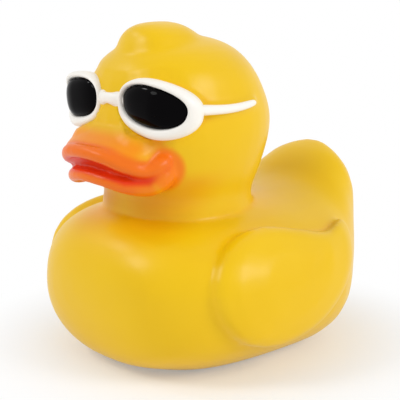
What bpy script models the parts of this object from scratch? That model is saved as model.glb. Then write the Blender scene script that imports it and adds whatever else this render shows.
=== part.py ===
"""Rubber bath duck with sunglasses: one hollow vinyl moulding, and a squeaker pressed into its base.

The duck looks along -Y, its left side is +X, and it stands on z = 0 with +Z up.
Body, head, crest and bill are lofts. A loft has a few stations, and each station says where the
form's two rails run in the middle plane and how wide the form is there. Smooth curves pass through
the stations. The wings are pads that follow the body's side, and the sunglasses are moulded on.
"""
import math

import bmesh
import bpy
from mathutils import Matrix, Vector
from mathutils.bvhtree import BVHTree

# Body and head
BODY_LENGTH = 0.0770
BODY_HEIGHT = 0.0365
BODY_WIDTH = 0.0625
BODY_FRONT = -0.0348
BODY_FULLNESS = (2.50, 2.30)
HEAD_LENGTH = 0.0427
HEAD_HEIGHT = 0.0369
HEAD_WIDTH = 0.038
HEAD_FRONT = -0.0277
HEAD_FULLNESS = (2.45, 2.10)
NECK_HEIGHT = 0.0370
WALL = 0.0020
BASE_SINK = 0.0025

# Crest
CREST_LENGTH = 0.0205
CREST_WIDTH = HEAD_WIDTH * 0.45
CREST_RISE = 0.0032
CREST_FRONT = HEAD_FRONT + 0.0055

# Bill and lips
BILL_LENGTH = 0.0068
BILL_WIDTH = HEAD_WIDTH * 0.71
BILL_HEIGHT = 0.0040
BILL_FULLNESS = (2.2, 2.2)
MOUTH_SHARE = 0.345
LIP_RADIUS = 0.0017
CAP_SHARE = 0.6
CORNER_RADIUS = 0.0027

# The lips' middle lines as shares of the bill: across, forward, up from the mouth line
UPPER_LIP = (
    (0.00, 1.00, 0.14), (0.42, 0.88, 0.00), (0.74, 0.46, -0.50), (0.90, -0.10, -0.80),
    (0.98, -0.60, -0.45), (0.82, -1.20, 0.00),
)
UPPER_LIP_SIZE = (0.92, 0.92, 0.92, 0.95, 1.15, 1.10)
LOWER_LIP = (
    (0.00, 0.84, -1.20), (0.38, 0.70, -1.32), (0.66, 0.30, -1.58), (0.84, -0.28, -1.60),
    (0.92, -0.74, -1.15), (0.78, -1.30, -0.40),
)
LOWER_LIP_SIZE = (0.86, 0.90, 1.10, 1.45, 1.70, 1.30)

# Wings
WING_LENGTH = 0.0470
WING_RISE = 0.0036
WING_FRONT = -0.0230
WING_LOW = math.radians(-20.0)
WING_HIGH = math.radians(33.0)
WING_BACK = ((1.00, -0.6), (0.55, -0.6))
WING_PROFILE = ((0.995, 0.05), (0.965, 0.50), (0.90, 0.77), (0.76, 0.92), (0.45, 1.0))

# Sunglasses
LENS_LENGTH = HEAD_WIDTH * 0.425
LENS_HEIGHT = HEAD_HEIGHT * 0.232
FRAME_RIM_SIDE = 0.0017
FRAME_RIM_EDGE = 0.0023
FRAME_DEPTH = HEAD_LENGTH * 0.28
FRAME_SPACING = HEAD_WIDTH * 0.660
FRAME_BOW = 0.0047
LENS_INWARDS = 0.0002
LENS_UPWARDS = 0.0005
LENS_DOME = 0.0014
GLASSES_FRONT = HEAD_FRONT + 0.0008
GLASSES_HEIGHT = NECK_HEIGHT + HEAD_HEIGHT * 0.615
GLASSES_WRAP = math.radians(4.0)
GLASSES_DROOP = math.radians(7.0)
TEMPLE_RADIUS = 0.0010
TEMPLE_PROUD = 0.0008
TEMPLE_END_SHARE = 0.64

# Squeaker
HOLE_DIAMETER = 0.0120
SQUEAKER_HEIGHT = 0.0090
SQUEAKER_RECESS = 0.0004
SQUEAKER_WALL = 0.0013
FLANGE_DIAMETER = 0.0152
FLANGE_THICKNESS = 0.0012
LEDGE_WIDTH = 0.0012
LEDGE_HEIGHT = 0.0042
DISC_THICKNESS = 0.0012
SLOT_LENGTH = 0.0040
SLOT_WIDTH = 0.0016
REED_LENGTH = 0.0058
REED_OVERLAP = 0.0005
REED_THICKNESS = 0.0004
CLIP_LENGTH = 0.0014
CLIP_HEIGHT = 0.0010
FIT = 0.0003

VINYL_YELLOW = (0.87, 0.53, 0.03, 1.0)
PLASTIC_WHITE = (0.85, 0.84, 0.80, 1.0)
REED_CLEAR = (0.75, 0.80, 0.82, 1.0)


def clear_scene():
    for thing in list(bpy.data.objects):
        bpy.data.objects.remove(thing, do_unlink=True)


def material(name, colour, roughness):
    made = bpy.data.materials.new(name)
    made.use_nodes = True
    shader = made.node_tree.nodes["Principled BSDF"]
    shader.inputs["Base Color"].default_value = colour
    shader.inputs["Roughness"].default_value = roughness
    shader.inputs["Metallic"].default_value = 0.0
    return made


def mix(low, high, share):
    return low + (high - low) * share


def smooth_value(values, place):
    """Catmull-Rom curve through the values at place, where values[1] is at place 0."""
    spans = len(values) - 3
    span = min(int(place), spans - 1)
    share = place - span
    before, start, end, after = values[span:span + 4]
    slope_in = (end - before) * 0.5
    slope_out = (after - start) * 0.5
    square = share * share
    cube = square * share
    return (
        start * (2 * cube - 3 * square + 1)
        + slope_in * (cube - 2 * square + share)
        + end * (3 * square - 2 * cube)
        + slope_out * (cube - square)
    )


def rounded_power(value, fullness):
    return math.copysign(abs(value) ** (2.0 / fullness), value)


def new_object(name, mesh, guide=True):
    made = bpy.data.objects.new(name, mesh)
    bpy.context.scene.collection.objects.link(made)
    if guide:
        made.hide_render = True
        made.display_type = "WIRE"
    return made


def mesh_from_rings(name, rings, first_pole, last_pole):
    """Closed mesh through rings with the same number of points, with a pole at each end."""
    work = bmesh.new()
    start = work.verts.new(first_pole)
    end = work.verts.new(last_pole)
    loops = [[work.verts.new(point) for point in ring] for ring in rings]
    count = len(loops[0])
    for index in range(count):
        after = (index + 1) % count
        work.faces.new((start, loops[0][index], loops[0][after]))
        work.faces.new((end, loops[-1][after], loops[-1][index]))
        for near, far in zip(loops, loops[1:]):
            work.faces.new((near[index], far[index], far[after], near[after]))
    bmesh.ops.recalc_face_normals(work, faces=work.faces)
    mesh = bpy.data.meshes.new(name)
    work.to_mesh(mesh)
    work.free()
    mesh.shade_smooth()
    return mesh


def loft(name, stations, around, steps, fullness=(2.0, 2.0), inset=0.0):
    """Closed form through stations of (top y, top z, low y, low z, half width).

    The first and the last station are poles. fullness says how square the sections are towards
    the first rail and towards the second, and 2 is an ellipse. inset draws the whole form in,
    for a cavity that leaves an even wall.
    """
    rows = [
        (Vector((0, top_y, top_z)), Vector((0, low_y, low_z)), half_width)
        for top_y, top_z, low_y, low_z, half_width in stations
    ]
    tops = [row[0] for row in rows]
    lows = [row[1] for row in rows]
    halves = [row[2] for row in rows]
    tops, lows = [lows[1]] + tops + [lows[-2]], [tops[1]] + lows + [tops[-2]]
    halves = [-halves[1]] + halves + [-halves[-2]]
    rings = []
    for step in range(1, (len(stations) - 1) * steps):
        place = step / steps
        top = smooth_value(tops, place)
        low = smooth_value(lows, place)
        half = smooth_value(halves, place)
        reach = (top - low).length
        if min(reach * 0.5, half) <= inset * 1.2:
            continue
        up = (top - low) / reach
        top, low, half = top - up * inset, low + up * inset, half - inset
        middle = low.lerp(top, 0.5)
        ring = []
        for index in range(around):
            angle = math.tau * index / around
            square = fullness[0] if math.cos(angle) > 0 else fullness[1]
            side = rounded_power(math.sin(angle), square) * half
            rise = rounded_power(math.cos(angle), square)
            edge = top if rise > 0 else low
            ring.append(middle + (edge - middle) * abs(rise) + Vector((side, 0, 0)))
        rings.append(ring)
    if inset:
        ends = [sum(ring, Vector()) / around for ring in (rings[0], rings[-1])]
    else:
        ends = [rows[0][0], rows[-1][0]]
    return mesh_from_rings(name, rings, ends[0], ends[1])


def body_stations():
    """Breast to tail tip. Along is a share of the length, up of the back's height."""
    shares = (
        (0.000, 0.540, 0.000, 0.540, 0.00),
        (0.025, 0.755, 0.016, 0.270, 0.47),
        (0.090, 0.895, 0.062, 0.085, 0.73),
        (0.175, 0.960, 0.155, 0.005, 0.905),
        (0.290, 0.990, 0.285, -0.050, 0.985),
        (0.500, 1.000, 0.510, -0.070, 1.00),
        (0.690, 0.985, 0.735, -0.055, 0.92),
        (0.800, 1.025, 0.890, 0.130, 0.71),
        (0.870, 1.135, 0.984, 0.480, 0.53),
        (0.930, 1.205, 1.026, 0.880, 0.37),
        (0.990, 1.205, 0.990, 1.205, 0.00),
    )
    return [
        (
            BODY_FRONT + BODY_LENGTH * top_along,
            BODY_HEIGHT * top_up,
            BODY_FRONT + BODY_LENGTH * low_along,
            BODY_HEIGHT * low_up if low_up > 0 else BASE_SINK * low_up / 0.07,
            BODY_WIDTH / 2 * wide,
        )
        for top_along, top_up, low_along, low_up, wide in shares
    ]


def head_stations():
    """Crown down to the neck, which flares out and ends inside the body."""
    shares = (
        (0.520, 1.000, 0.520, 1.000, 0.00),
        (0.205, 0.950, 0.740, 0.950, 0.52),
        (0.055, 0.815, 0.880, 0.815, 0.84),
        (0.005, 0.600, 0.980, 0.600, 0.98),
        (0.000, 0.425, 1.000, 0.425, 1.00),
        (0.040, 0.225, 0.940, 0.225, 0.955),
        (0.105, 0.050, 0.870, 0.050, 0.870),
        (0.100, -0.060, 0.860, -0.060, 0.880),
        (0.250, -0.190, 0.750, -0.190, 0.600),
        (0.500, -0.230, 0.500, -0.230, 0.000),
    )
    return [
        (
            HEAD_FRONT + HEAD_LENGTH * front_along,
            NECK_HEIGHT + HEAD_HEIGHT * front_up,
            HEAD_FRONT + HEAD_LENGTH * back_along,
            NECK_HEIGHT + HEAD_HEIGHT * back_up,
            HEAD_WIDTH / 2 * wide,
        )
        for front_along, front_up, back_along, back_up, wide in shares
    ]


def crest_stations():
    """The tuft over the forehead, from its steep front to where it runs out on the crown."""
    crown = NECK_HEIGHT + HEAD_HEIGHT
    shares = (
        (0.00, -1.40, 0.00, -1.40, 0.00),
        (0.04, -0.20, 0.12, -2.70, 0.62),
        (0.16, 0.76, 0.24, -2.90, 0.90),
        (0.42, 1.00, 0.46, -2.90, 1.00),
        (0.74, 0.76, 0.74, -2.50, 0.84),
        (1.08, -0.70, 1.08, -0.70, 0.00),
    )
    return [
        (
            CREST_FRONT + CREST_LENGTH * top_along,
            crown + CREST_RISE * top_up,
            CREST_FRONT + CREST_LENGTH * low_along,
            crown + CREST_RISE * low_up,
            CREST_WIDTH / 2 * wide,
        )
        for top_along, top_up, low_along, low_up, wide in shares
    ]


def bill_point(across, forward, rise):
    """A place on the bill: shares of its half width and length, and a rise over the mouth line."""
    mouth_height = NECK_HEIGHT + HEAD_HEIGHT * MOUTH_SHARE
    return Vector((BILL_WIDTH / 2 * across, HEAD_FRONT - BILL_LENGTH * forward, mouth_height + rise))


def bill_stations():
    """The bill between its lips, from its root in the face to the front of the mouth."""
    rows = (
        (-1.40, 1.00, -1.40, 1.00, 0.00),
        (-0.95, 2.50, -1.15, -2.00, 0.85),
        (-0.10, 1.60, -0.42, -1.90, 0.96),
        (0.45, 0.90, 0.25, -1.45, 0.88),
        (0.82, 0.45, 0.64, -0.85, 0.62),
        (0.88, 0.05, 0.88, 0.05, 0.00),
    )
    stations = []
    for top_forward, top_up, low_forward, low_up, wide in rows:
        top = bill_point(0, top_forward, BILL_HEIGHT * top_up)
        low = bill_point(0, low_forward, BILL_HEIGHT * low_up)
        stations.append((top.y, top.z, low.y, low.z, BILL_WIDTH / 2 * wide))
    return stations


def tube_end(ring, centre, beyond, radius):
    """A smaller ring and a pole that round off one end of a tube."""
    push = beyond.normalized() * radius * CAP_SHARE
    cap = [centre + push + (point - centre) * CAP_SHARE for point in ring]
    return cap, centre + push * 1.4


def swept_tube(name, path, radii, around=12, steps=3):
    """A round bar along a smooth path, with its own radius at each point and rounded ends."""
    points = [path[0] * 2 - path[1]] + path + [path[-1] * 2 - path[-2]]
    sizes = [radii[0]] + radii + [radii[-1]]
    count = (len(path) - 1) * steps
    centres = [smooth_value(points, step / steps) for step in range(count + 1)]
    widths = [smooth_value(sizes, step / steps) for step in range(count + 1)]
    rings = []
    for index, (centre, radius) in enumerate(zip(centres, widths)):
        before = centres[max(index - 1, 0)]
        after = centres[min(index + 1, count)]
        run = (after - before).normalized()
        side = run.cross(Vector((0, 0, 1))).normalized()
        rise = side.cross(run)
        rings.append([
            centre + (side * math.cos(turn) + rise * math.sin(turn)) * radius
            for turn in (math.tau * corner / around for corner in range(around))
        ])
    first_cap, first_pole = tube_end(rings[0], centres[0], centres[0] - centres[1], widths[0])
    last_cap, last_pole = tube_end(rings[-1], centres[-1], centres[-1] - centres[-2], widths[-1])
    return mesh_from_rings(name, [first_cap] + rings + [last_cap], first_pole, last_pole)


def lip(name, shares, radii):
    """A rolled lip round the bill, mirrored from the shares of its left half."""
    half = [bill_point(across, forward, BILL_HEIGHT * up) for across, forward, up in shares]
    path = [Vector((-point.x, point.y, point.z)) for point in half[:0:-1]] + half
    sizes = [LIP_RADIUS * size for size in radii[:0:-1] + radii]
    return swept_tube(name, path, sizes)


def mouth_corner(name, side):
    """The swelling where the two lips meet at one side of the face."""
    centre = bill_point(side * 0.90, -0.72, BILL_HEIGHT * -0.78)
    work = bmesh.new()
    bmesh.ops.create_uvsphere(
        work, u_segments=14, v_segments=9, radius=CORNER_RADIUS, matrix=Matrix.Translation(centre)
    )
    mesh = bpy.data.meshes.new(name)
    work.to_mesh(mesh)
    work.free()
    mesh.shade_smooth()
    return mesh


def oval_point(half_long, half_high, turn, fullness=2.2):
    return (
        half_long * rounded_power(math.cos(turn), fullness),
        half_high * rounded_power(math.sin(turn), fullness),
    )


def glasses_place(side):
    """Matrix of one eyepiece: its local X runs outwards, Y up and Z out of the lens."""
    turned = Matrix.Rotation(GLASSES_WRAP, 4, "Z")
    facing = Matrix(((1, 0, 0, 0), (0, 0, -1, 0), (0, 1, 0, 0), (0, 0, 0, 1)))
    droop = Matrix.Rotation(-GLASSES_DROOP, 4, "Z")
    centre = Matrix.Translation((FRAME_SPACING / 2, GLASSES_FRONT, GLASSES_HEIGHT))
    left = centre @ turned @ facing @ droop
    if side > 0:
        return left
    return Matrix.Diagonal((-1, 1, 1, 1)) @ left


def bowed(point):
    """The outer half of an eyepiece falls back round the face."""
    share = max(point.x, 0.0) / (LENS_LENGTH / 2 + FRAME_RIM_SIDE)
    return Vector((point.x, point.y, point.z - FRAME_BOW * share * share))


def eyepiece(name, side):
    """Oval frame with a rounded rim and a domed lens, filled back into the face."""
    lens_long = LENS_LENGTH / 2
    lens_high = LENS_HEIGHT / 2
    rim_top = 0.0
    lens_edge = -0.0007
    profile = (
        (-0.55, -FRAME_DEPTH),
        (-0.12, -FRAME_DEPTH * 0.40),
        (0.00, -0.0017),
        (0.12, -0.0006),
        (0.35, rim_top),
        (0.75, rim_top),
        (0.94, -0.0003),
        (1.00, lens_edge),
    )
    dome = ((0.97, 0.10), (0.80, 0.45), (0.50, 0.80))
    place = glasses_place(side)
    count = 28
    rings = []
    for share, height in profile:
        if share < 0:
            long = (lens_long + FRAME_RIM_SIDE) * (1 + share)
            high = (lens_high + FRAME_RIM_EDGE) * (1 + share)
        else:
            long = mix(lens_long + FRAME_RIM_SIDE, lens_long, share)
            high = mix(lens_high + FRAME_RIM_EDGE, lens_high, share)
        rings.append((long, high, height, max(share, 0.0)))
    for size, rise in dome:
        rings.append((lens_long * size, lens_high * size, lens_edge + LENS_DOME * rise, 1.0))
    lens_offset = Vector((-LENS_INWARDS, LENS_UPWARDS, 0))
    loops = []
    for long, high, height, moved in rings:
        loop = []
        for index in range(count):
            across, up = oval_point(long, high, math.tau * index / count)
            point = Vector((across, up, height)) + lens_offset * moved
            loop.append(place @ bowed(point))
        loops.append(loop)
    first = place @ Vector((0, 0, -FRAME_DEPTH))
    last = place @ bowed(Vector((0, 0, lens_edge + LENS_DOME)) + lens_offset)
    return mesh_from_rings(name, loops, first, last)


def bridge():
    """The nose bridge between the two frames."""
    inner = -(LENS_LENGTH / 2 + FRAME_RIM_SIDE * 0.6)
    left = glasses_place(1) @ Vector((inner, 0, -0.0012))
    right = Vector((-left.x, left.y, left.z))
    middle = Vector((0, left.y - 0.0004, left.z + 0.0004))
    return swept_tube("bridge", [right, middle, left], [0.0013, 0.0011, 0.0013])


def temple(name, side, head_tree):
    """An arm of the sunglasses in low relief, from its frame back along the head."""
    outer = LENS_LENGTH / 2 + FRAME_RIM_SIDE * 0.5
    start = glasses_place(1) @ bowed(Vector((outer, 0.0012, -0.0016)))
    end_y = HEAD_FRONT + HEAD_LENGTH * TEMPLE_END_SHARE
    drops = (0.0, -0.0006, -0.0009, -0.0006, 0.0003)
    path = []
    for index, drop in enumerate(drops):
        share = index / (len(drops) - 1)
        y = mix(start.y, end_y, share)
        z = start.z + drop
        hit = head_tree.ray_cast(Vector((1, y, z)), Vector((-1, 0, 0)))[0]
        on_head = hit.x + TEMPLE_PROUD - TEMPLE_RADIUS * 0.3
        near_frame = max(0.0, 1.0 - share * 2.2)
        path.append(Vector((side * mix(on_head, start.x - 0.0012, near_frame), y, z)))
    radii = [TEMPLE_RADIUS * size for size in (1.25, 1.1, 1.0, 0.9, 0.8)]
    return swept_tube(name, path, radii, around=10)


def wing(name, side, body_tree):
    """A rounded pad that follows the body's side, with its tip turned up at the back."""
    outline = (
        (0.00, 0.50), (0.05, 0.74), (0.18, 0.91), (0.38, 0.96), (0.60, 0.86), (0.80, 0.79),
        (0.96, 0.89), (1.00, 0.83), (0.97, 0.66), (0.90, 0.44), (0.77, 0.23), (0.59, 0.07),
        (0.37, 0.00), (0.16, 0.09), (0.04, 0.27),
    )
    centre = Vector((0.45, 0.48))
    closed = [Vector(point) for point in outline]
    closed = [closed[-1]] + closed + [closed[0], closed[1]]
    edge = [smooth_value(closed, step / 2) for step in range(len(outline) * 2)]
    back = WING_BACK
    profile = WING_PROFILE

    def surface(y, angle):
        outwards = Vector((math.cos(angle), 0, math.sin(angle)))
        axis = Vector((0, y, BODY_HEIGHT / 2))
        return body_tree.ray_cast(axis + outwards * BODY_LENGTH, -outwards)[0]

    def normal(y, angle):
        step, swing = WING_RISE, WING_RISE / (BODY_WIDTH / 2)
        along = surface(y + step, angle) - surface(y - step, angle)
        around = surface(y, angle + swing) - surface(y, angle - swing)
        return along.cross(around).normalized()

    def on_body(share, height):
        angle = mix(WING_LOW, WING_HIGH, share.y)
        y = WING_FRONT + WING_LENGTH * share.x
        point = surface(y, angle) + normal(y, angle) * WING_RISE * height
        return Vector((side * point.x, point.y, point.z))

    rings = [
        [on_body(centre.lerp(point, size), height) for point in edge]
        for size, height in back[::-1] + profile
    ]
    return mesh_from_rings(name, rings, on_body(centre, back[-1][1]), on_body(centre, profile[-1][1]))


def tree_of(mesh):
    work = bmesh.new()
    work.from_mesh(mesh)
    tree = BVHTree.FromBMesh(work)
    work.free()
    return tree


def turned(name, outline, sides=40):
    """Solid of revolution about Z from (radius, height) corners, first and last on the axis."""
    rings = [
        [
            Vector((radius * math.cos(turn), radius * math.sin(turn), height))
            for turn in (math.tau * index / sides for index in range(sides))
        ]
        for radius, height in outline[1:-1]
    ]
    return mesh_from_rings(name, rings, Vector((0, 0, outline[0][1])), Vector((0, 0, outline[-1][1])))


def turned_ring(name, outline, sides=40):
    """Hollow solid of revolution about Z from a closed outline of (radius, height) corners."""
    work = bmesh.new()
    loops = []
    for index in range(sides):
        turn = math.tau * index / sides
        loops.append([
            work.verts.new((radius * math.cos(turn), radius * math.sin(turn), height))
            for radius, height in outline
        ])
    corners = len(outline)
    for near, far in zip(loops, loops[1:] + loops[:1]):
        for corner in range(corners):
            after = (corner + 1) % corners
            work.faces.new((near[corner], far[corner], far[after], near[after]))
    bmesh.ops.recalc_face_normals(work, faces=work.faces)
    mesh = bpy.data.meshes.new(name)
    work.to_mesh(mesh)
    work.free()
    return mesh


def boolean(target, operation, *operands):
    for operand in operands:
        step = target.modifiers.new(operand.name, "BOOLEAN")
        step.operation = operation
        step.solver = "EXACT"
        step.object = operand


def box(name, low, high):
    work = bmesh.new()
    bmesh.ops.create_cube(work, size=1.0)
    size = Vector(high) - Vector(low)
    bmesh.ops.scale(work, vec=size, verts=work.verts)
    bmesh.ops.translate(work, vec=(Vector(high) + Vector(low)) / 2, verts=work.verts)
    mesh = bpy.data.meshes.new(name)
    work.to_mesh(mesh)
    work.free()
    return mesh


def duck_body():
    body = loft("duck_body", body_stations(), 40, 3, BODY_FULLNESS)
    head = loft("head", head_stations(), 36, 3, HEAD_FULLNESS)
    body_tree = tree_of(body)
    head_tree = tree_of(head)
    forms = [
        new_object("head", head),
        new_object("crest", loft("crest", crest_stations(), 20, 3)),
        new_object("bill", loft("bill", bill_stations(), 28, 3, BILL_FULLNESS)),
        new_object("upper_lip", lip("upper_lip", UPPER_LIP, UPPER_LIP_SIZE)),
        new_object("lower_lip", lip("lower_lip", LOWER_LIP, LOWER_LIP_SIZE)),
        new_object("bridge", bridge()),
    ]
    for word, side in (("left", 1), ("right", -1)):
        forms.append(new_object("corner_" + word, mouth_corner("corner_" + word, side)))
        forms.append(new_object("wing_" + word, wing("wing_" + word, side, body_tree)))
        forms.append(new_object("eyepiece_" + word, eyepiece("eyepiece_" + word, side)))
        forms.append(new_object("temple_" + word, temple("temple_" + word, side, head_tree)))
    reach = BODY_LENGTH
    under = new_object("under_base", box("under_base", (-reach, -reach, -reach), (reach, reach, 0)))
    hollow_body = new_object(
        "hollow_body", loft("hollow_body", body_stations(), 24, 2, BODY_FULLNESS, inset=WALL)
    )
    hollow_head = new_object(
        "hollow_head", loft("hollow_head", head_stations(), 20, 2, HEAD_FULLNESS, inset=WALL)
    )
    floor = new_object("floor", box("floor", (-reach, -reach, -reach), (reach, reach, WALL)))
    boolean(hollow_body, "UNION", hollow_head)
    boolean(hollow_body, "DIFFERENCE", floor)
    hole = new_object("base_hole", turned("base_hole", (
        (0, -WALL), (HOLE_DIAMETER / 2, -WALL), (HOLE_DIAMETER / 2, WALL * 2), (0, WALL * 2),
    )))
    duck = new_object("duck_body", body, guide=False)
    boolean(duck, "UNION", *forms)
    boolean(duck, "DIFFERENCE", under, hollow_body, hole)
    duck.data.materials.append(material("vinyl_yellow", VINYL_YELLOW, 0.38))
    return duck


def squeaker(white, film):
    """A flanged tube in the base hole, with a slotted disc on its ledge and a reed held over the slot."""
    outer = HOLE_DIAMETER / 2 - FIT
    bore = outer - SQUEAKER_WALL
    seat = WALL + FIT
    ledge = bore - LEDGE_WIDTH
    flange = FLANGE_DIAMETER / 2
    housing = new_object("squeaker_housing", turned_ring("squeaker_housing", (
        (outer, SQUEAKER_RECESS), (outer, seat), (flange, seat), (flange, seat + FLANGE_THICKNESS),
        (outer, seat + FLANGE_THICKNESS), (outer, SQUEAKER_HEIGHT), (bore, SQUEAKER_HEIGHT),
        (bore, LEDGE_HEIGHT), (ledge, LEDGE_HEIGHT), (ledge, SQUEAKER_RECESS),
    )), guide=False)
    disc_bottom = LEDGE_HEIGHT + FIT
    disc_top = disc_bottom + DISC_THICKNESS
    disc = new_object("squeaker_disc", turned("squeaker_disc", (
        (0, disc_bottom), (bore - FIT, disc_bottom), (bore - FIT, disc_top), (0, disc_top),
    )), guide=False)
    slot = new_object("slot", box(
        "slot",
        (-SLOT_WIDTH / 2, -SLOT_LENGTH / 2, disc_bottom - FIT),
        (SLOT_WIDTH / 2, SLOT_LENGTH / 2, disc_top + FIT),
    ))
    boolean(disc, "DIFFERENCE", slot)
    reed_bottom = disc_top + FIT
    reed_top = reed_bottom + REED_THICKNESS
    half_width = SLOT_WIDTH / 2 + REED_OVERLAP
    reed = new_object("squeaker_reed", box(
        "squeaker_reed",
        (-half_width, -REED_LENGTH / 2, reed_bottom),
        (half_width, REED_LENGTH / 2, reed_top),
    ), guide=False)
    clip = new_object("squeaker_clip", box(
        "squeaker_clip",
        (-half_width, REED_LENGTH / 2 - CLIP_LENGTH, reed_top + FIT),
        (half_width, REED_LENGTH / 2, reed_top + FIT + CLIP_HEIGHT),
    ), guide=False)
    for piece, finish in ((housing, white), (disc, white), (reed, film), (clip, white)):
        piece.data.materials.append(finish)


def centre_on_origin(duck):
    """Hang every object on an empty that brings the duck's length central over the origin."""
    evaluated = duck.evaluated_get(bpy.context.evaluated_depsgraph_get())
    along = [vertex.co.y for vertex in evaluated.to_mesh().vertices]
    evaluated.to_mesh_clear()
    stand = bpy.data.objects.new("stand", None)
    bpy.context.scene.collection.objects.link(stand)
    stand.location = (0, -(min(along) + max(along)) / 2, 0)
    for thing in bpy.data.objects:
        if thing is not stand:
            thing.parent = stand


def build():
    clear_scene()
    duck = duck_body()
    white = material("plastic_white", PLASTIC_WHITE, 0.4)
    film = material("reed_clear", REED_CLEAR, 0.2)
    squeaker(white, film)
    centre_on_origin(duck)


build()
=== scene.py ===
# %% [markdown]
# # A rubber duck with sunglasses
#
# The duck is one hollow vinyl moulding. Its sunglasses are part of the moulding and are painted
# white and black, its bill is sprayed orange with a red mouth, and a small plastic squeaker sits
# in the flat base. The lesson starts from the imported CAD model, gives it a smooth skin, adds the
# sunglasses as finer pieces, and then mixes a finish for each.


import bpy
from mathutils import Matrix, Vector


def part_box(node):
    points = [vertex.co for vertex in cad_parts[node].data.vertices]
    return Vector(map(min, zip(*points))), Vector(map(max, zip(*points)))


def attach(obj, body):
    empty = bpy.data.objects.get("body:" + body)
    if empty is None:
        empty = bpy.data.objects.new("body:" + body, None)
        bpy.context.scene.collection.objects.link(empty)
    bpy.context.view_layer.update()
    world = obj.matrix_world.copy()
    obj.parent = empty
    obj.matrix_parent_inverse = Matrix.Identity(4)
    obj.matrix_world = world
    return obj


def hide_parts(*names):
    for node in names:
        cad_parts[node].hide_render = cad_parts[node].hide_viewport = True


def in_mm(values):
    return [round(float(value) * 1000, 1) for value in values]


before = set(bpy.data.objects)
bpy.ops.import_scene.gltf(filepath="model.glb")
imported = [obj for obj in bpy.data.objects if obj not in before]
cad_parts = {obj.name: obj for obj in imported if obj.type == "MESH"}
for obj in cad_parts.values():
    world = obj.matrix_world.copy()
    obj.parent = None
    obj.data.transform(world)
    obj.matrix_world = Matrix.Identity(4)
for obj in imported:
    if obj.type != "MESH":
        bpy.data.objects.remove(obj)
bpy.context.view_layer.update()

# %% [markdown]
# ## Small helpers
#
# An operator works on whatever is selected, so each step first clears the selection and then
# picks its own objects. A modifier could stay live, where it can still be changed. Here it is
# applied at once, because the next step works on the points that it makes.

# %% Pick objects, apply a modifier, end an edit, read and move points
import math

import bmesh
import bpy
import numpy as np
from mathutils import Matrix, Vector
from mathutils.bvhtree import BVHTree


def pick(*objects):
    """Select these objects alone and make the first of them active."""
    bpy.ops.object.select_all(action="DESELECT")
    for thing in objects:
        thing.select_set(True)
    bpy.context.view_layer.objects.active = objects[0]


def apply_modifier(thing, kind, **settings):
    """Add one modifier with its settings, and apply it."""
    pick(thing)
    step = thing.modifiers.new(kind.lower(), kind)
    for name, value in settings.items():
        setattr(step, name, value)
    bpy.ops.object.modifier_apply(modifier=step.name)


def end_edit():
    """Turn every face to point out, and leave edit mode."""
    bpy.ops.mesh.select_all(action="SELECT")
    bpy.ops.mesh.normals_make_consistent(inside=False)
    bpy.ops.object.mode_set(mode="OBJECT")


def corners(thing):
    """The mesh's points as an array with one row for each."""
    flat = np.empty(len(thing.data.vertices) * 3)
    thing.data.vertices.foreach_get("co", flat)
    return flat.reshape(-1, 3)


def move_corners(thing, points):
    """Give the mesh's points their new places."""
    thing.data.vertices.foreach_set("co", points.ravel())


print("helpers ready for", len(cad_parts), "CAD nodes")

# %% [markdown]
# ## The vinyl skin
#
# The real duck is cast from liquid vinyl, and every edge on it is soft. The CAD moulding has flat
# facets and crisp joins. A bevel could round the joins, but it fails where curved forms run into
# each other. So the outer wall is remeshed in small even squares, which can be smoothed like clay.
# The hollow is set aside first, so that it keeps its form.

# %% Copy the moulding and delete the wall of its hole
HOLE_RADIUS = 0.0060
WALL = 0.0020
MERGE = 0.00001
AROUND_HOLE = 1.02
ABOVE_WALL = 1.05

skin = bpy.data.objects.new("duck_skin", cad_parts["duck_body"].data.copy())
bpy.context.scene.collection.objects.link(skin)
pick(skin)
bpy.ops.object.mode_set(mode="EDIT")
bpy.ops.mesh.select_all(action="SELECT")
bpy.ops.mesh.remove_doubles(threshold=MERGE)
bpy.ops.mesh.select_all(action="DESELECT")
bpy.ops.object.mode_set(mode="OBJECT")
points = corners(skin)
front = points[:, 1].min()
housing_low, housing_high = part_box("squeaker_housing")
hole_centre = (housing_low + housing_high) / 2
from_axis = np.hypot(points[:, 0] - hole_centre.x, points[:, 1] - hole_centre.y)
on_hole = (from_axis < HOLE_RADIUS * AROUND_HOLE) & (points[:, 2] < WALL * ABOVE_WALL)
for face in skin.data.polygons:
    face.select = all(on_hole[index] for index in face.vertices)
bpy.ops.object.mode_set(mode="EDIT")
bpy.ops.mesh.select_mode(type="FACE")
bpy.ops.mesh.delete(type="FACE")
print("points on the hole:", int(on_hole.sum()))

# %% Part the outer wall from the hollow, and close both over the hole
bpy.ops.mesh.select_all(action="SELECT")
bpy.ops.mesh.separate(type="LOOSE")
bpy.ops.object.mode_set(mode="OBJECT")
walls = sorted(bpy.context.selected_objects, key=lambda wall: -len(wall.data.vertices))
skin, hollow = sorted(walls[:2], key=lambda wall: -wall.dimensions.z)
for wall in (skin, hollow):
    pick(wall)
    bpy.ops.object.mode_set(mode="EDIT")
    bpy.ops.mesh.select_mode(type="EDGE")
    bpy.ops.mesh.select_all(action="DESELECT")
    bpy.ops.mesh.select_non_manifold()
    bpy.ops.mesh.edge_face_add()
    end_edit()
skin.name = "duck_skin"
hollow.name = "hollow_cutter"
print("walls:", [(wall.name, len(wall.data.vertices)) for wall in walls])

# %% Remesh the outer wall in small squares
GRAIN = 0.00043

apply_modifier(skin, "REMESH", mode="VOXEL", voxel_size=GRAIN, use_smooth_shade=True)
print("skin squares:", len(skin.data.polygons))

# %% [markdown]
# ## Smooth some places more than others
#
# The moulding is softest on its back, breast and head, while its bill, glasses and the tip of its
# tail keep a clear form. A brush could smooth each place by hand, but not twice in the same way.
# A vertex group says it in numbers: 1 where the full smoothing works and 0 where none does.

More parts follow.
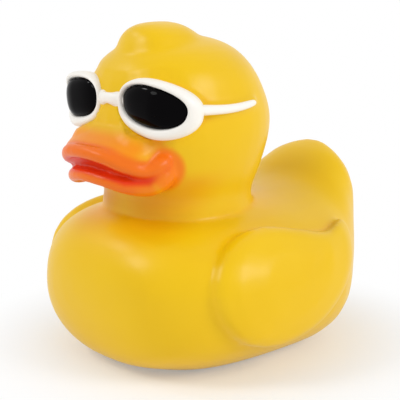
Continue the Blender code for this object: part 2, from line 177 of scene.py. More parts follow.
# %% Weigh each point by its place
BILL_BOX = ((-0.017, -0.045, 0.0415), (0.017, -0.0267, 0.0565))
LENS_BOX = ((-0.024, -0.045, 0.0530), (0.024, -0.0240, 0.0665))
TAIL_BOX = ((-0.03, 0.037, 0.036), (0.03, 0.05, 0.06))
TAIL_WEIGHT = 0.25


def soft_step(values, start, end):
    """0 at start and 1 at end, with a soft run between."""
    share = np.clip((values - start) / (end - start), 0.0, 1.0)
    return share * share * (3 - 2 * share)


def away_from(points, low, high, reach):
    """0 in the box and 1 past reach from it, with a soft run between."""
    middle = (np.array(low) + np.array(high)) / 2
    half = (np.array(high) - np.array(low)) / 2
    outside = np.maximum(np.abs(points - middle) - half, 0.0)
    return soft_step(np.linalg.norm(outside, axis=1), 0.0, reach)


points = corners(skin)
keep_bill = away_from(points, *BILL_BOX, reach=0.004)
keep_lenses = away_from(points, *LENS_BOX, reach=0.003)
keep_tail = TAIL_WEIGHT + (1 - TAIL_WEIGHT) * away_from(points, *TAIL_BOX, reach=0.008)
weights = keep_bill * keep_lenses * keep_tail
group = skin.vertex_groups.new(name="plain")
for index, weight in enumerate(weights):
    group.add((index,), float(weight), "REPLACE")
print("points in plain places:", int((weights > 0.5).sum()), "of", len(weights))

# %% [markdown]
# A Smooth modifier moves each point halfway towards the middle of its neighbours, many times over.
# A Laplacian smooth would keep more volume, but it is slow on this many points. A few rounds all
# over take the steps of the remesh away, and the rest round off the joins in the plain places.

# %% Smooth everything a little and the plain places a lot
SMOOTHING = 0.5
ROUNDS_ALL_OVER = 6
ROUNDS_ON_PLAIN = 42

apply_modifier(skin, "SMOOTH", factor=SMOOTHING, iterations=ROUNDS_ALL_OVER)
apply_modifier(
    skin, "SMOOTH", factor=SMOOTHING, iterations=ROUNDS_ON_PLAIN, vertex_group="plain",
)
print("smoothed box in mm:", in_mm((*corners(skin).min(0), *corners(skin).max(0))))

# %% [markdown]
# ## Creases and triangles
#
# Yellow vinyl looks warmer in a crease, where light bounces from wall to wall. To find creases, a
# second copy is smoothed very hard: it rises out of them, and the rise is kept at each point. A
# shader could find them while it renders, but the export can't carry that. It is done now, because
# smoothing works evenly on even squares.

# %% Keep how deep each point lies in a crease
CREASE_ROUNDS = 170
CREASE_START = 0.00010
CREASE_FULL = 0.0012


def store(thing, name, values):
    """Keep one value at each point, for a material to read."""
    kept = thing.data.attributes.new(name, "FLOAT", "POINT")
    kept.data.foreach_set("value", values.astype(np.float32))


def hollows_of(thing):
    """How far each point would be lifted out by strong smoothing."""
    pick(thing)
    bpy.ops.object.duplicate(linked=False)
    lifted = bpy.context.object
    apply_modifier(lifted, "SMOOTH", factor=SMOOTHING, iterations=CREASE_ROUNDS)
    rise = corners(lifted) - corners(thing)
    bpy.data.objects.remove(lifted)
    facing_out = np.empty(len(rise) * 3)
    thing.data.vertex_normals.foreach_get("vector", facing_out)
    return (rise * facing_out.reshape(-1, 3)).sum(axis=1)


skin_creases = hollows_of(skin)
# The crease value lays painted shade on the yellow: warmer and darker in the creases, where bounced
# light and shade fall.
store(skin, "crease", soft_step(skin_creases, CREASE_START, CREASE_FULL))
print("deepest crease in mm:", in_mm([skin_creases.max()]))

# %% [markdown]
# The bill needs the small squares, and the plain back doesn't. A coarser remesh would save
# triangles too, but it leaves the mouth jagged. A Decimate modifier thins out only the places
# where the vertex group is strong.

# %% Thin the plain places out
TRIANGLES = 170000

thinning = TRIANGLES / (2 * len(skin.data.polygons))
apply_modifier(skin, "DECIMATE", ratio=thinning, vertex_group="plain")
print("skin triangles after thinning:", len(skin.data.polygons))

# %% [markdown]
# ## Room for the sunglasses
#
# The frames and lenses come later as finer pieces of their own. Behind each of them the skin is
# drawn in and pressed back, so that it never shows through. A Boolean could cut the room, but it
# would leave a sharp edge that can be seen. An eyepiece has a place of its own: its local X runs
# outwards, Y up and Z out of the lens, and its outer half bows back.

# %% Where the eyepieces sit
LENS_LENGTH = 0.01615
LENS_HEIGHT = 0.00856
RIM_SIDE = 0.0017
RIM_EDGE = 0.0023
BOW = 0.0047
GLASSES_CENTRE = Vector((0.01254, -0.03097, 0.05969))
WRAP = math.radians(4.0)
DROOP = math.radians(7.0)

lens_long = LENS_LENGTH / 2
lens_high = LENS_HEIGHT / 2
facing = Matrix(((1, 0, 0, 0), (0, 0, -1, 0), (0, 1, 0, 0), (0, 0, 0, 1)))
left_place = (
    Matrix.Translation(GLASSES_CENTRE)
    @ Matrix.Rotation(WRAP, 4, "Z")
    @ facing
    @ Matrix.Rotation(-DROOP, 4, "Z")
)


def bow_at(across):
    """How far the eyepiece has bowed back at this distance outwards."""
    return BOW * (np.maximum(across, 0.0) / (lens_long + RIM_SIDE)) ** 2


print("an eyepiece bows back by", in_mm([bow_at(lens_long + RIM_SIDE)]), "mm")

# %% [markdown]
# The skin's points are worked on in the eyepiece's own place. There the bow is taken out, so the
# eyepiece is flat, and everything in front of one height is pressed back to it. The right side
# uses the same numbers with X turned round.

# %% Press the skin back behind each eyepiece
PRESSED = 0.0016
PRESSED_SIZE = 1.08
UNTOUCHED_SIZE = 1.30
UNTOUCHED_DEPTH = -0.0090
PRESSED_DEPTH = -0.0055
DRAWN_IN = 0.10


def moved(points, matrix):
    turn = np.array(matrix)
    return points @ turn[:3, :3].T + turn[:3, 3]


points = corners(skin)
for side in (1, -1):
    local = moved(points * (side, 1, 1), left_place.inverted())
    local[:, 2] += bow_at(local[:, 0])
    out = np.hypot(local[:, 0] / (lens_long + RIM_SIDE), local[:, 1] / (lens_high + RIM_EDGE))
    near = soft_step(out, UNTOUCHED_SIZE, PRESSED_SIZE)
    near = near * soft_step(local[:, 2], UNTOUCHED_DEPTH, PRESSED_DEPTH)
    local[:, :2] *= (1 - DRAWN_IN * near)[:, None]
    behind = (out < PRESSED_SIZE) & (local[:, 2] > -PRESSED)
    local[behind, 2] = -PRESSED
    local[:, 2] -= bow_at(local[:, 0])
    back_home = moved(local, left_place) * (side, 1, 1)
    points = np.where((near > 0)[:, None], back_home, points)
move_corners(skin, points)
print("pressed the skin back by", in_mm([PRESSED]), "mm")

# %% [markdown]
# ## Spray marks
#
# The orange of the bill and the red of the mouth are sprayed on through a mask, so their edges
# are soft. A painted picture could carry them, but it would need an unwrapped skin. Here each
# colour is a value at every point of the skin, worked out from the distance to the lips.

# %% Find where the lips run
BILL_WIDTH = 0.02698
BILL_LENGTH = 0.0068
BILL_HEIGHT = 0.0040
LIP_RADIUS = 0.0017
LIP_AHEAD = 0.92
MOUTH_HEIGHT = 0.04973
# Each place is across, ahead and up, in shares of the bill's half width, length and height.
UPPER_LIP = (
    (0.00, 1.00, 0.14), (0.42, 0.88, 0.00), (0.74, 0.46, -0.50), (0.90, -0.10, -0.80),
    (0.98, -0.60, -0.45), (0.82, -1.20, 0.00),
)
LOWER_LIP = (
    (0.00, 0.84, -1.20), (0.38, 0.70, -1.32), (0.66, 0.30, -1.58), (0.84, -0.28, -1.60),
    (0.92, -0.74, -1.15), (0.78, -1.30, -0.40),
)
CORNER = (0.90, -0.72, -0.78)

bill_root = front + BILL_LENGTH + LIP_RADIUS * LIP_AHEAD


def bill_point(across, ahead, up):
    return np.array((
        BILL_WIDTH / 2 * across,
        bill_root - BILL_LENGTH * ahead,
        MOUTH_HEIGHT + BILL_HEIGHT * up,
    ))


def lip_line(shares, steps=8):
    """Points along one lip, from its left end round the front to its right end."""
    half = [bill_point(*share) for share in shares]
    whole = [point * (-1, 1, 1) for point in half[:0:-1]] + half
    return np.array([
        start + (end - start) * step / steps
        for start, end in zip(whole, whole[1:])
        for step in range(steps)
    ])


upper_line = lip_line(UPPER_LIP)
lower_line = lip_line(LOWER_LIP)
print("bill root at", in_mm([bill_root]), "mm")

# %% [markdown]
# A mask on the real duck covers all but the bill. Its edge is followed here by distances: how far
# a point lies from the upper lip, the lower lip, the mouth between them and its corner. A simple
# box round the bill would colour the cheeks too.

# %% Measure how far each point lies from the lips


def distance_to(points, line):
    nearest = np.full(len(points), 1.0)
    for place in line:
        nearest = np.minimum(nearest, np.linalg.norm(points - place, axis=1))
    return nearest


points = corners(skin)
across = np.abs(points[:, 0])
height = points[:, 2]
near_upper = distance_to(points, upper_line)
near_lower = distance_to(points, lower_line)
near_lips = np.minimum(near_upper, near_lower)
near_mouth = distance_to(points, (upper_line + lower_line) / 2)
near_corner = distance_to(np.column_stack((across, points[:, 1:])), [bill_point(*CORNER)])
print("points within 2 mm of the lips:", int((near_lips < 0.002).sum()))

# %% Put the spray values and the painted shade under the bill on the skin
# Each pair is where a colour ends and where it is full, as a distance or a height.
CAP_REACH = (0.0088, 0.0040)
CAP_SIDES = (0.0145, 0.0110)
CAP_HEIGHT = (MOUTH_HEIGHT - 0.002, MOUTH_HEIGHT)
HALO_REACH = (0.0058, 0.0040)
LIPS_REACH = (0.0032, 0.0018)
MOUTH_REACH = (0.0027, 0.0014)
MOUTH_END = (0.0020, 0.0045)
# The chin values place painted shade under the bill, below the lower lip.
CHIN_REACH = (0.0150, 0.0060)
CHIN_HEIGHT = (MOUTH_HEIGHT - 0.003, MOUTH_HEIGHT - 0.007)
CAP_STRENGTH = 0.95
HALO_ON_LIPS = 0.6
CHIN_SHADE_STRENGTH = 0.5

cap = soft_step(near_upper, *CAP_REACH) * soft_step(height, *CAP_HEIGHT)
cap = cap * soft_step(across, *CAP_SIDES)
halo = soft_step(near_corner, *HALO_REACH)
lips = soft_step(near_lips, *LIPS_REACH)
mouth = soft_step(near_mouth, *MOUTH_REACH) * soft_step(near_corner, *MOUTH_END)
chin_shade = soft_step(near_lower, *CHIN_REACH) * soft_step(height, *CHIN_HEIGHT)
store(skin, "orange", np.maximum.reduce([cap * CAP_STRENGTH, halo, lips]))
store(skin, "lips", np.maximum(lips, halo * HALO_ON_LIPS))
store(skin, "red", mouth)
# The under value is painted shade under the bill, not spray.
store(skin, "under", chin_shade * CHIN_SHADE_STRENGTH)
print("red points:", int((mouth > 0.5).sum()))

# %% [markdown]
# ## Hollow the skin again
#
# The real duck is a thin wall of vinyl with a hole for its squeaker. A Solidify modifier could
# give the skin a wall, but it would fold over in the tight creases. A Boolean with the hollow that
# was set aside keeps the wall of the CAD model, and a cylinder opens the hole.

# %% Cut the hollow and the hole
HOLE_SIDES = 64

bpy.ops.mesh.primitive_cylinder_add(
    vertices=HOLE_SIDES, radius=HOLE_RADIUS, depth=WALL * 4,
    location=(hole_centre.x, hole_centre.y, 0),
)
hole_cutter = bpy.context.object
for cutter in (hollow, hole_cutter):
    apply_modifier(skin, "BOOLEAN", operation="DIFFERENCE", object=cutter, solver="EXACT")
    bpy.data.objects.remove(cutter)
print("skin faces:", len(skin.data.polygons))

# %% [markdown]
# ## The sunglasses
#
# Frames, lenses, bridge and arms are part of the moulding, but their rims are the crispest thing
# on it, and the lenses shine. They could be sculpted out of the skin, but its squares are too
# coarse for a clean rim. So each is a finer piece that sits a hair proud of the moulded relief. A
# frame starts as a round disc. Its front face is extruded and resized ring by ring: out to the
# rim, over it and down to the lens seat.

# %% Start a disc and grow its front
DISC_SIDES = 96


def start_disc(name, long, high, depth):
    """A disc whose front face is picked in edit mode, at local height -depth."""
    bpy.ops.object.select_all(action="DESELECT")
    bpy.ops.mesh.primitive_circle_add(
        vertices=DISC_SIDES, radius=1, fill_type="NGON", location=(0, 0, 0),
    )
    disc = bpy.context.object
    disc.name = name
    disc.data.name = name
    bpy.ops.object.mode_set(mode="EDIT")
    bpy.ops.mesh.select_mode(type="FACE")
    bpy.ops.mesh.select_all(action="SELECT")
    bpy.ops.transform.resize(value=(long, high, 1))
    bpy.ops.transform.translate(value=(0, 0, -depth))
    return disc


def grow_front(long, high, rise, shift=(0.0, 0.0)):
    """Extrude the picked front face and give the new ring its size, height and place."""
    bpy.ops.mesh.extrude_region_move()
    edit = bmesh.from_edit_mesh(bpy.context.object.data)
    ring = [vertex for vertex in edit.verts if vertex.select]
    middle = sum((vertex.co for vertex in ring), Vector()) / len(ring)
    now_long = max(abs(vertex.co.x - middle.x) for vertex in ring)
    now_high = max(abs(vertex.co.y - middle.y) for vertex in ring)
    bpy.ops.transform.resize(
        value=(long / now_long, high / now_high, 1), center_override=middle,
    )
    bpy.ops.transform.translate(
        value=(shift[0] - middle.x, shift[1] - middle.y, rise - middle.z),
    )


print("a disc has", DISC_SIDES, "sides")

# %% [markdown]
# The frame's root is narrow and deep in the head, and its rim is wide and round. The rings below
# follow that: first the root, then the rim, whose last rings drop down behind the edge of the
# lens. A subdivision surface rounds the steps between them.

# %% One frame from a disc
LENS_INWARDS = 0.0002
LENS_UPWARDS = 0.0005
PROUD = 0.00012
SLIM = 0.00035
SHARP = math.radians(50)
FRAME_BACK = (0.45, 0.0105)
# The size in shares of the rim, and the height in metres.
FRAME_ROOT = ((0.74, -0.0075), (0.90, -0.0046), (0.975, -0.0028), (1.0, -0.0018))
# 0 at the rim's outer edge and 1 at the lens, and the height in metres.
RIM_PROFILE = (
    (0.03, -0.0011), (0.12, -0.0006), (0.28, -0.0002), (0.50, 0.0), (0.72, -0.0001),
    (0.90, -0.0003), (0.98, -0.0006), (1.03, -0.0012), (1.08, -0.0020),
)


def mix(start, end, share):
    return start + (end - start) * share


rim_long = lens_long + RIM_SIDE - SLIM
rim_high = lens_high + RIM_EDGE - SLIM
back_size, back_depth = FRAME_BACK
frame_left = start_disc("frame_left", rim_long * back_size, rim_high * back_size, back_depth)
for size, rise in FRAME_ROOT:
    grow_front(rim_long * size + PROUD, rim_high * size + PROUD, rise + PROUD)
for share, rise in RIM_PROFILE:
    grow_front(
        mix(rim_long, lens_long, share) + PROUD,
        mix(rim_high, lens_high, share) + PROUD,
        rise + PROUD,
        (-LENS_INWARDS * share, LENS_UPWARDS * share),
    )
end_edit()
apply_modifier(frame_left, "SUBSURF", levels=1, render_levels=1)
pick(frame_left)
bpy.ops.object.shade_smooth_by_angle(angle=SHARP)
print("frame faces:", len(frame_left.data.polygons))

# %% [markdown]
# ## The lenses
#
# On the toy a lens is a low painted dome. A squashed sphere could make it, but its poles would
# pinch the highlight. The same disc is grown in rings up to a nearly flat top instead.

# %% One lens, a low dome
LENS_BACK = (0.9, 0.0022)
# The size in shares of the lens, and the height in metres.
LENS_PROFILE = (
    (1.00, -0.0018), (1.01, -0.0009), (0.99, -0.0006), (0.95, -0.00035), (0.86, 0.00000),
    (0.72, 0.00033), (0.55, 0.00056), (0.36, 0.00069), (0.18, 0.00075), (0.05, 0.00077),
)

back_size, back_depth = LENS_BACK
lens_left = start_disc("lens_left", lens_long * back_size, lens_high * back_size, back_depth)
for size, rise in LENS_PROFILE:
    grow_front(lens_long * size, lens_high * size, rise, (-LENS_INWARDS, LENS_UPWARDS))
end_edit()
apply_modifier(lens_left, "SUBSURF", levels=1, render_levels=1)
pick(lens_left)
bpy.ops.object.shade_smooth()
print("lens faces:", len(lens_left.data.polygons))

# %% [markdown]
# ## Onto the face
#
# The real eyepieces are fuller than an ellipse and wrap round the head. Bent discs could be
# modelled on the spot, but flat ones are easier to grow. So both pieces are filled out and bowed
# now, set on the face, and mirrored with a mesh of their own.

# %% Set one eyepiece on the face and mirror it to the other side
FULLNESS = 2.3
ALMOST_NONE = 1e-9
MIRROR = Matrix.Diagonal((-1, 1, 1, 1))


def fill_and_bow(thing):
    """Fill the ellipse out towards a rounded oval, and bow its outer half back."""
    points = corners(thing)
    shares = np.abs(points[:, :2] / (lens_long, lens_high)) + ALMOST_NONE
    full = (shares ** 2).sum(axis=1) ** 0.5 / (shares ** FULLNESS).sum(axis=1) ** (1 / FULLNESS)
    points[:, :2] *= full[:, None]
    points[:, 2] -= bow_at(points[:, 0])
    move_corners(thing, points)


def set_down(thing, place):
    """Move a piece that was modelled at the origin to its place, and keep that in its mesh."""
    thing.matrix_world = place
    pick(thing)
    bpy.ops.object.transform_apply(location=True, rotation=True, scale=True)


def mirrored(thing, name):
    """A copy with its own mesh on the duck's right, with its faces turned to point out again."""
    pick(thing)
    bpy.ops.object.duplicate(linked=False)
    other = bpy.context.object
    other.name = name
    other.data.name = name
    set_down(other, MIRROR)
    bpy.ops.object.mode_set(mode="EDIT")
    end_edit()
    return other


for piece in (frame_left, lens_left):
    fill_and_bow(piece)
    set_down(piece, left_place)
frame_right = mirrored(frame_left, "frame_right")
lens_right = mirrored(lens_left, "lens_right")
print("frame reaches out to", in_mm([corners(frame_left)[:, 0].max()]), "mm")

# %% [markdown]
# ## Bridge and arms
#
# These are round bars that follow the face. A curve with a bevel could make them, but it has one
# round section, and its thickness is harder to steer. A bar here is a disc whose face is extruded
# from place to place along a path and resized on the way. A subdivision surface rounds it off.

# %% A bar along a path
TIP_SIZE = 0.5
TIP_LENGTH = 0.7


def bar(name, path, radii, sides=12):
    """A round bar through the path's points, with its own radius at each and rounded tips."""
    run = (path[1] - path[0]).normalized()
    last_run = (path[-1] - path[-2]).normalized()
    centre, size = path[0] - run * radii[0] * TIP_LENGTH, radii[0] * TIP_SIZE
    places = list(path) + [path[-1] + last_run * radii[-1] * TIP_LENGTH]
    sizes = list(radii) + [radii[-1] * TIP_SIZE]
    bpy.ops.object.select_all(action="DESELECT")
    bpy.ops.mesh.primitive_circle_add(
        vertices=sides, radius=size, fill_type="NGON", location=centre,
        rotation=run.to_track_quat("Z", "Y").to_euler(),
    )
    made = bpy.context.object
    made.name = name
    made.data.name = name
    bpy.ops.object.transform_apply(location=True, rotation=True, scale=True)
    bpy.ops.object.mode_set(mode="EDIT")
    bpy.ops.mesh.select_mode(type="FACE")
    bpy.ops.mesh.select_all(action="SELECT")
    for index, (place, radius) in enumerate(zip(places, sizes)):
        bpy.ops.mesh.extrude_region_move()
        before = places[max(index - 1, 0)]
        after = places[min(index + 1, len(places) - 1)]
        heading = (after - before).normalized()
        turn = run.rotation_difference(heading).to_matrix().to_4x4()
        growth = Vector((1, 1, 1)) * (radius / size)
        edit = bmesh.from_edit_mesh(made.data)
        ring = [vertex for vertex in edit.verts if vertex.select]
        bmesh.ops.scale(edit, vec=growth, space=Matrix.Translation(-centre), verts=ring)
        bmesh.ops.rotate(edit, cent=centre, matrix=turn, verts=ring)
        bmesh.ops.translate(edit, vec=place - centre, verts=ring)
        bmesh.update_edit_mesh(made.data)
        centre, size, run = place, radius, heading
    end_edit()
    apply_modifier(made, "SUBSURF", levels=2, render_levels=2)
    pick(made)
    bpy.ops.object.shade_smooth()
    return made


print("a bar's tip is", TIP_SIZE, "of its radius")

# %% [markdown]
# The bridge is a thin flat strap that widens into both frames. A flat bar could be extruded, but
# its edges would be hard. A round bar that is flattened afterwards keeps a soft section.

# %% The bridge, a flattened bar
BRIDGE_FLATNESS = 0.62
BRIDGE_SIDES = 16
INTO_RIM = 0.5
BEHIND_RIM = -0.0012
# The place across in shares of the way to the rim, then up, ahead and radius in metres.
BRIDGE_SHAPE = (
    (0.82, 0.0000, -0.0007, 0.0026), (0.64, 0.0001, 0.0003, 0.0019),
    (0.44, 0.0003, 0.0009, 0.0015), (0.22, 0.0004, 0.0012, 0.00125),
    (0.00, 0.0005, 0.0013, 0.0012),
)

inner_edge = left_place @ Vector((-(lens_long + RIM_SIDE * INTO_RIM), 0.0, BEHIND_RIM))


def bridge_place(across, up, ahead):
    """A place on the bridge, pushed ahead by what the flattening takes back."""
    return Vector((
        inner_edge.x * across, inner_edge.y - ahead / BRIDGE_FLATNESS, inner_edge.z + up,
    ))


half = [(bridge_place(across, up, ahead), size) for across, up, ahead, size in BRIDGE_SHAPE]
whole = [(MIRROR @ place, size) for place, size in half] + half[-2::-1]
bridge_path = [place for place, size in whole]
bridge_radii = [size for place, size in whole]
bridge = bar("bridge", bridge_path, bridge_radii, sides=BRIDGE_SIDES)
points = corners(bridge)
points[:, 1] = inner_edge.y + (points[:, 1] - inner_edge.y) * BRIDGE_FLATNESS
move_corners(bridge, points)
print("bridge faces:", len(bridge.data.polygons))

# %% [markdown]
# Each arm lies in the side of the head and ends in low relief. Its path could be typed in, but it
# would float or sink wherever the head curves. So a ray is shot at the skin from the side for each
# place on the path, and the arm runs through the points that the rays hit.

# %% The arms follow the skin
ARM_RADIUS = 0.00098
ARM_END = -0.0060
ARM_DROPS = (0.0, -0.0004, -0.0007, -0.0006, -0.0001)
ARM_TAPER = (1.3, 1.15, 1.05, 0.95, 0.85)
ARM_RISE = 0.0012
ARM_BEHIND = -0.0016
ARM_PROUD = 0.1
INSIDE_FRAME = 0.0010
LEAVES_FRAME = 2.2

edit = bmesh.new()
edit.from_mesh(skin.data)
skin_tree = BVHTree.FromBMesh(edit)
edit.free()
arm_out = lens_long + RIM_SIDE * INTO_RIM
arm_start = left_place @ Vector((arm_out, ARM_RISE, ARM_BEHIND - float(bow_at(arm_out))))
arm_path = []
for index, drop in enumerate(ARM_DROPS):
    share = index / (len(ARM_DROPS) - 1)
    along = mix(arm_start.y, ARM_END, share)
    up = arm_start.z + drop
    hit = skin_tree.ray_cast(Vector((1, along, up)), Vector((-1, 0, 0)))[0]
    on_skin = hit.x + ARM_RADIUS * ARM_PROUD
    near_frame = max(0.0, 1.0 - share * LEAVES_FRAME)
    out = on_skin * (1 - near_frame) + (arm_start.x - INSIDE_FRAME) * near_frame
    arm_path.append(Vector((out, along, up)))
arm_left = bar("arm_left", arm_path, [ARM_RADIUS * size for size in ARM_TAPER])
arm_right = mirrored(arm_left, "arm_right")
print("arm faces:", len(arm_left.data.polygons))

# %% [markdown]
# ## Finishes
#
# The vinyl is satin yellow, with orange and red sprayed over it. Each colour could be a material
# of its own, but then its edge would be hard. One material mixes them where the spray values say,
# so the edges stay soft. A faint noise varies the yellow and the gloss, as on a real moulding.

# %% A plain finish
VINYL_YELLOW = (0.84, 0.50, 0.004)


def finish_of(name, colour, roughness, **sockets):
    """A material with one colour, and with further sockets of its shader by name."""
    made = bpy.data.materials.new(name)
    made.use_nodes = True
    shader = made.node_tree.nodes["Principled BSDF"]
    shader.inputs["Base Color"].default_value = (*colour, 1.0)
    shader.inputs["Roughness"].default_value = roughness
    for socket, value in sockets.items():
        shader.inputs[socket.replace("_", " ")].default_value = value
    return made


vinyl = finish_of("satin_vinyl", VINYL_YELLOW, roughness=0.33, Specular_IOR_Level=0.24)
nodes = vinyl.node_tree.nodes
links = vinyl.node_tree.links
shader = nodes["Principled BSDF"]
print("plain vinyl:", [round(part, 3) for part in shader.inputs["Base Color"].default_value])

# %% [markdown]
# The colours go on in order: yellow first, then painted shade, warmer than the yellow, in the
# creases and under the bill, then orange, the deeper orange of the lips and red last, as they are
# sprayed on the real duck. Each Mix node lays one colour over the ones before it. A colour ramp
# could do it too, but only along a single value.

# %% The vinyl's colours, one over the other
CLOUD_SCALE = 60.0
CLOUD_DETAIL = 2.0
DULL_YELLOW = (0.80, 0.485, 0.002, 1)
FRESH_YELLOW = (0.85, 0.545, 0.005, 1)
# Painted shade: a warm, darker orange for the creases and under the bill.
PAINTED_WARM_SHADE = (0.78, 0.26, 0.002, 1)
BILL_ORANGE = (0.90, 0.27, 0.004, 1)
LIP_ORANGE = (0.85, 0.165, 0.006, 1)
MOUTH_RED = (0.76, 0.040, 0.003, 1)


def attribute(name):
    node = nodes.new("ShaderNodeAttribute")
    node.attribute_name = name
    return node.outputs["Fac"]


def mixed(share, under, over):
    """The colour under with the colour over it, as far as the share says."""
    node = nodes.new("ShaderNodeMix")
    node.data_type = "RGBA"
    links.new(share, node.inputs["Factor"])
    for socket, value in ((node.inputs["A"], under), (node.inputs["B"], over)):
        if isinstance(value, tuple):
            socket.default_value = value
        else:
            links.new(value, socket)
    return node.outputs["Result"]


place = nodes.new("ShaderNodeTexCoord")
cloud = nodes.new("ShaderNodeTexNoise")
cloud.inputs["Scale"].default_value = CLOUD_SCALE
cloud.inputs["Detail"].default_value = CLOUD_DETAIL
links.new(place.outputs["Object"], cloud.inputs["Vector"])
colour = mixed(cloud.outputs["Fac"], DULL_YELLOW, FRESH_YELLOW)
# crease and under lay painted shade over the yellow; orange, lips and red are the real spray.
SPRAYS_AND_PAINTED_SHADE = (
    ("crease", PAINTED_WARM_SHADE), ("under", PAINTED_WARM_SHADE), ("orange", BILL_ORANGE),
    ("lips", LIP_ORANGE), ("red", MOUTH_RED),
)
for name, layer_colour in SPRAYS_AND_PAINTED_SHADE:
    colour = mixed(attribute(name), colour, layer_colour)
links.new(colour, shader.inputs["Base Color"])
print("colours over the yellow:", [name for name, layer_colour in SPRAYS_AND_PAINTED_SHADE])

# %% [markdown]
# Moulded vinyl is never evenly glossy, and its skin has pores that are too fine to model. The
# cloudy noise changes the roughness a little, and a much finer noise goes into a Bump node, which
# bends the light without moving a point.

# %% The vinyl's gloss and its fine pores
SMOOTHEST = 0.29
ROUGHEST = 0.37
PORE_SCALE = 420.0
PORE_STRENGTH = 0.10
PORE_DEPTH = 0.0002

gloss = nodes.new("ShaderNodeMapRange")
gloss.inputs["To Min"].default_value = SMOOTHEST
gloss.inputs["To Max"].default_value = ROUGHEST
links.new(cloud.outputs["Fac"], gloss.inputs["Value"])
links.new(gloss.outputs["Result"], shader.inputs["Roughness"])
pores = nodes.new("ShaderNodeTexNoise")
pores.inputs["Scale"].default_value = PORE_SCALE
links.new(place.outputs["Object"], pores.inputs["Vector"])
bump = nodes.new("ShaderNodeBump")
bump.inputs["Strength"].default_value = PORE_STRENGTH
bump.inputs["Distance"].default_value = PORE_DEPTH
links.new(pores.outputs["Fac"], bump.inputs["Height"])
links.new(bump.outputs["Normal"], shader.inputs["Normal"])
print("vinyl nodes:", len(nodes))

# %% [markdown]
# ## Paint and plastic
#
# On the toy the frames are painted satin white and the lenses gloss black, with small clear
# highlights. Glass could be tried on the lenses, but the toy's are opaque. The squeaker is plain
# moulded plastic, and its reed is a thin film. One helper gives each group of pieces its finish.

# %% Give each piece its finish


def paint(pieces, finish):
    for piece in pieces:
        piece.data.materials.clear()
        piece.data.materials.append(finish)


white_pieces = (frame_left, frame_right, bridge, arm_left, arm_right)
black_pieces = (lens_left, lens_right)
squeaker_pieces = [
    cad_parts[name] for name in ("squeaker_housing", "squeaker_disc", "squeaker_clip")
]
white_paint = finish_of("white_paint", (0.91, 0.88, 0.82), roughness=0.40)
black_paint = finish_of(
    "black_paint", (0.0012, 0.0008, 0.0012), roughness=0.06, Specular_IOR_Level=0.035,
)
squeaker_white = finish_of("squeaker_white", (0.82, 0.81, 0.77), roughness=0.4)
reed_film = finish_of("reed_film", (0.75, 0.80, 0.82), roughness=0.2)
paint([skin], vinyl)
paint(white_pieces, white_paint)
paint(black_pieces, black_paint)
paint(squeaker_pieces, squeaker_white)
paint([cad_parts["squeaker_reed"]], reed_film)
print("materials:", [material.name for material in bpy.data.materials])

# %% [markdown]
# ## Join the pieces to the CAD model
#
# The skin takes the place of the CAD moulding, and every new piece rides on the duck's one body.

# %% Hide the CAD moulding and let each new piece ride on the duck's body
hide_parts("duck_body")
for piece in (skin, *white_pieces, *black_pieces):
    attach(piece, "root")
print("new pieces:", 1 + len(white_pieces) + len(black_pieces))

# %% [markdown]
# ## The floor
#
# The photograph is cut out on white, and the duck needs a floor to stand on. A strong lamp could
# bleach a floor to white, but it would bleach the duck too. So the floor glows white by itself,
# only for the camera and for reflections, and only away from the duck, where no shadow falls.

# %% Add the floor
FLOOR_SIZE = 6
FLOOR_GAP = 0.0001

bpy.ops.object.select_all(action="DESELECT")
bpy.ops.mesh.primitive_plane_add(size=FLOOR_SIZE, location=(0, 0, -FLOOR_GAP))
floor = bpy.context.object
floor.name = "floor"
floor_paint = finish_of("floor_paint", (0.95, 0.95, 0.95), roughness=0.9)
floor.data.materials.append(floor_paint)
print("floor side in m:", FLOOR_SIZE)

# %% [markdown]
# The glow grows with the distance from the middle of the floor, so the duck keeps its shadow. It
# could be painted on a picture, but a distance needs none. A light path says which rays see the
# floor directly, and only they see the glow, so it puts no light on the duck.

# %% Let it glow white away from the duck
SHADOW_END = 0.032
GLOW_FULL = 0.066
GLOW_LEAST = 0.3


def seen_directly(tree):
    """1 for what the camera, a glossy surface or a clear one sees, and 0 for the rest."""
    path = tree.nodes.new("ShaderNodeLightPath")
    total = path.outputs["Is Camera Ray"]
    for name in ("Is Glossy Ray", "Is Transmission Ray"):
        either = tree.nodes.new("ShaderNodeMath")
        either.operation = "MAXIMUM"
        tree.links.new(total, either.inputs[0])
        tree.links.new(path.outputs[name], either.inputs[1])
        total = either.outputs[0]
    return total


def blended(tree, share, first, second, surface):
    """Show the first shader where the share is 0 and the second where it is 1."""
    blend = tree.nodes.new("ShaderNodeMixShader")
    tree.links.new(share, blend.inputs["Fac"])
    tree.links.new(first.outputs[0], blend.inputs[1])
    tree.links.new(second.outputs[0], blend.inputs[2])
    tree.links.new(blend.outputs[0], tree.nodes[surface].inputs["Surface"])


tree = floor_paint.node_tree
floor_place = tree.nodes.new("ShaderNodeTexCoord")
reach = tree.nodes.new("ShaderNodeVectorMath")
reach.operation = "LENGTH"
tree.links.new(floor_place.outputs["Object"], reach.inputs[0])
far = tree.nodes.new("ShaderNodeMapRange")
far.interpolation_type = "SMOOTHSTEP"
far.inputs["From Min"].default_value = SHADOW_END
far.inputs["From Max"].default_value = GLOW_FULL
far.inputs["To Min"].default_value = GLOW_LEAST
tree.links.new(reach.outputs["Value"], far.inputs["Value"])
share = tree.nodes.new("ShaderNodeMath")
share.operation = "MULTIPLY"
tree.links.new(far.outputs["Result"], share.inputs[0])
tree.links.new(seen_directly(tree), share.inputs[1])
glow = tree.nodes.new("ShaderNodeEmission")
blended(tree, share.outputs[0], tree.nodes["Principled BSDF"], glow, "Material Output")
print("floor nodes:", len(tree.nodes))

# %% [markdown]
# ## Light
#
# The photograph has soft, even light. A picture of a studio could light the scene, but a plain
# world and three soft lamps are easier to balance. The world is white to the camera and dimmer as
# a light, so the vinyl keeps its colour.

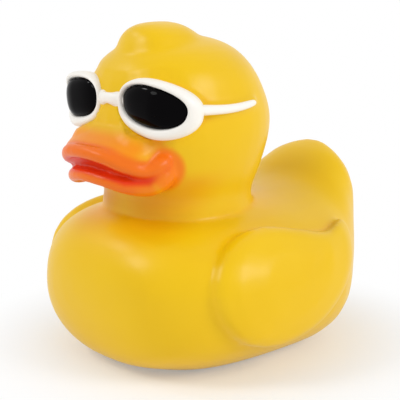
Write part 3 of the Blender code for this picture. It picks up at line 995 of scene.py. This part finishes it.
# %% The world
WORLD_LIGHT = 0.62
WHITE = (1, 1, 1, 1)

world = bpy.data.worlds.new("studio")
bpy.context.scene.world = world
world.use_nodes = True
tree = world.node_tree
background = tree.nodes["Background"]
background.inputs["Color"].default_value = WHITE
background.inputs["Strength"].default_value = WORLD_LIGHT
backdrop = tree.nodes.new("ShaderNodeBackground")
backdrop.inputs["Color"].default_value = WHITE
blended(tree, seen_directly(tree), background, backdrop, "World Output")
print("world strength:", WORLD_LIGHT)

# %% [markdown]
# A sun lamp would give hard shadows and tiny highlights. Three round area lamps are used: a key
# lamp from the front, a fill lamp from the duck's left, and a small one for the glint on the lenses.

# %% The lamps


def lamp(name, place, aim, size, power):
    """A round soft lamp that looks at its aim."""
    data = bpy.data.lights.new(name, "AREA")
    data.shape = "DISK"
    data.size = size
    data.energy = power
    made = bpy.data.objects.new(name, data)
    bpy.context.scene.collection.objects.link(made)
    made.location = place
    made.rotation_euler = (Vector(aim) - Vector(place)).to_track_quat("-Z", "Y").to_euler()


lamp("key", (-0.22, -0.58, 0.56), aim=(0, 0, 0.03), size=0.28, power=1.65)
lamp("fill", (0.66, 0.22, 0.42), aim=(0, 0, 0.03), size=0.34, power=2.4)
lamp("glint", (-0.50, -0.35, 0.60), aim=(0, 0, 0.05), size=0.08, power=0.45)
print("lamps:", [light.name for light in bpy.data.lights])

# %% [markdown]
# ## The camera
#
# It looks at the duck's left front from a little above, as in the photograph. A short lens would
# swell the bill, so a long one is used from 25 cm away, and the picture is shifted into place.

# %% Camera at the photograph's angle
AZIMUTH = math.radians(47.0)
ELEVATION = math.radians(12.0)
AWAY = 0.250
TARGET = Vector((0, -0.00407, 0.036))
FOCAL_LENGTH = 94.5
SENSOR_WIDTH = 36
SHIFT = (-0.0025, -0.015)
SEEN_FROM = 0.01
SEEN_TO = 20

back = Vector((
    math.sin(AZIMUTH) * math.cos(ELEVATION),
    -math.cos(AZIMUTH) * math.cos(ELEVATION),
    math.sin(ELEVATION),
))
lens = bpy.data.cameras.new("camera")
lens.lens = FOCAL_LENGTH
lens.sensor_width = SENSOR_WIDTH
lens.shift_x, lens.shift_y = SHIFT
lens.clip_start = SEEN_FROM
lens.clip_end = SEEN_TO
camera = bpy.data.objects.new("camera", lens)
bpy.context.scene.collection.objects.link(camera)
camera.location = TARGET + back * AWAY
camera.rotation_euler = (-back).to_track_quat("-Z", "Y").to_euler()
bpy.context.scene.camera = camera
bpy.context.scene.view_settings.view_transform = "Standard"
print("camera at, in mm:", in_mm(camera.location))
